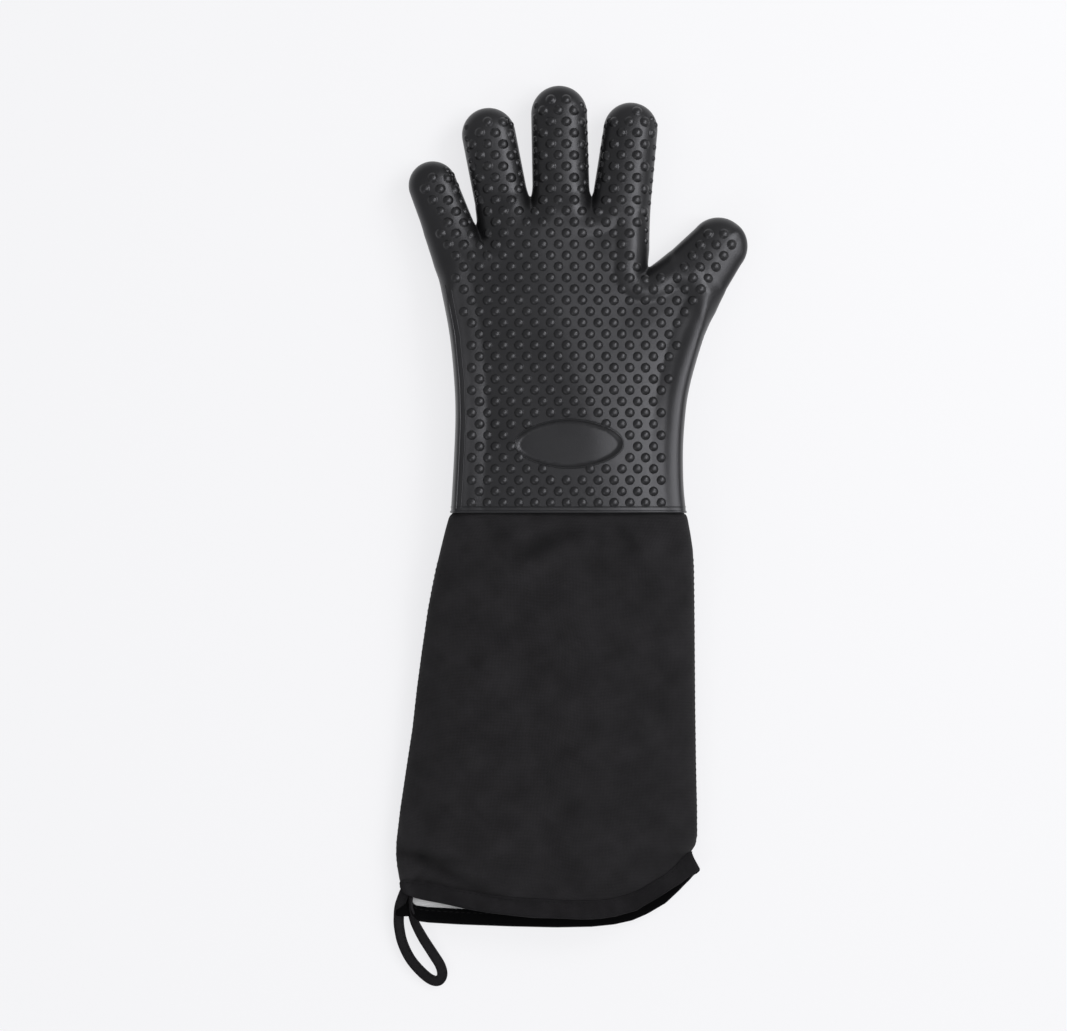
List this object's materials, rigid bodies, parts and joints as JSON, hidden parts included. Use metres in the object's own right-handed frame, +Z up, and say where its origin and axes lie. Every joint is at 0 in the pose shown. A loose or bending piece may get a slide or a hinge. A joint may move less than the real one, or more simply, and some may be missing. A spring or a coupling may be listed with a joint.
{
  "type": "heat resistant glove",
  "caption": "Long heat resistant glove: a dimpled silicone hand with a sewn liner, a padded canvas cuff and a hanging loop.",
  "frame": {"origin": "centre of the glove's outline, loop included, on the surface it lies on", "axes": "glove lying palm up: +Y towards the fingertips, +X towards the thumb, +Z up out of the palm"},
  "size_m": [0.2107, 0.5389, 0.0346],
  "materials": {
    "silicone": "satin moulded silicone with low round grip bumps",
    "canvas": "matte plain-woven cotton canvas",
    "cuff_lining": "light grey cotton lining",
    "wadding": "needled felt wadding",
    "liner": "soft knitted cotton",
    "binding": "black twill tape",
    "thread": "black polyester thread"
  },
  "bodies": {
    "hand": {"silicone_palm": "silicone", "hand_wadding_front": "wadding", "hand_wadding_back": "wadding", "liner_palm_front": "liner", "liner_palm_back": "liner", "wrist_tape": "canvas", "wrist_stitching": "thread"},
    "little": {"silicone_little": "silicone", "liner_little": "liner"},
    "ring": {"silicone_ring": "silicone", "liner_ring": "liner"},
    "middle": {"silicone_middle": "silicone", "liner_middle": "liner"},
    "index": {"silicone_index": "silicone", "liner_index": "liner"},
    "thumb": {"silicone_thumb": "silicone", "liner_thumb": "liner"},
    "cuff": {"cuff_canvas_front": "canvas", "cuff_canvas_back": "canvas", "cuff_wadding_front": "wadding", "cuff_wadding_back": "wadding", "cuff_lining_front": "cuff_lining", "cuff_lining_back": "cuff_lining", "side_seam_left": "canvas", "side_seam_right": "canvas", "hem_binding": "binding", "hem_stitching": "thread", "loop_end": "binding"},
    "loop": {"hanging_loop": "binding"}
  },
  "joints": [
    {"name": "little_flex", "type": "hinge", "parent": "hand", "child": "little", "pos_m": [-0.0705, 0.1809, 0.02], "axis": [0.9335, 0.3585, 0], "range_deg": [0, 60], "stiffness_Nm_per_rad": 0.05},
    {"name": "ring_flex", "type": "hinge", "parent": "hand", "child": "ring", "pos_m": [-0.0414, 0.2047, 0.02], "axis": [0.9816, 0.191, 0], "range_deg": [0, 60], "stiffness_Nm_per_rad": 0.05},
    {"name": "middle_flex", "type": "hinge", "parent": "hand", "child": "middle", "pos_m": [-0.0053, 0.208, 0.02], "axis": [0.9997, 0.0243, 0], "range_deg": [0, 60], "stiffness_Nm_per_rad": 0.05},
    {"name": "index_flex", "type": "hinge", "parent": "hand", "child": "index", "pos_m": [0.0313, 0.2042, 0.02], "axis": [0.9923, -0.124, 0], "range_deg": [0, 60], "stiffness_Nm_per_rad": 0.05},
    {"name": "thumb_flex", "type": "hinge", "parent": "hand", "child": "thumb", "pos_m": [0.0667, 0.147, 0.02], "axis": [0.7767, -0.6299, 0], "range_deg": [0, 40], "stiffness_Nm_per_rad": 0.05},
    {"name": "cuff_fold", "type": "hinge", "parent": "hand", "child": "cuff", "pos_m": [0, 0.0149, 0.026], "axis": [-1, 0, 0], "range_deg": [0, 50]},
    {"name": "loop_swing", "type": "hinge", "parent": "cuff", "child": "loop", "pos_m": [-0.1018, -0.2222, 0.0072], "axis": [-0.9558, -0.2939, 0], "range_deg": [0, 80]}
  ]
}
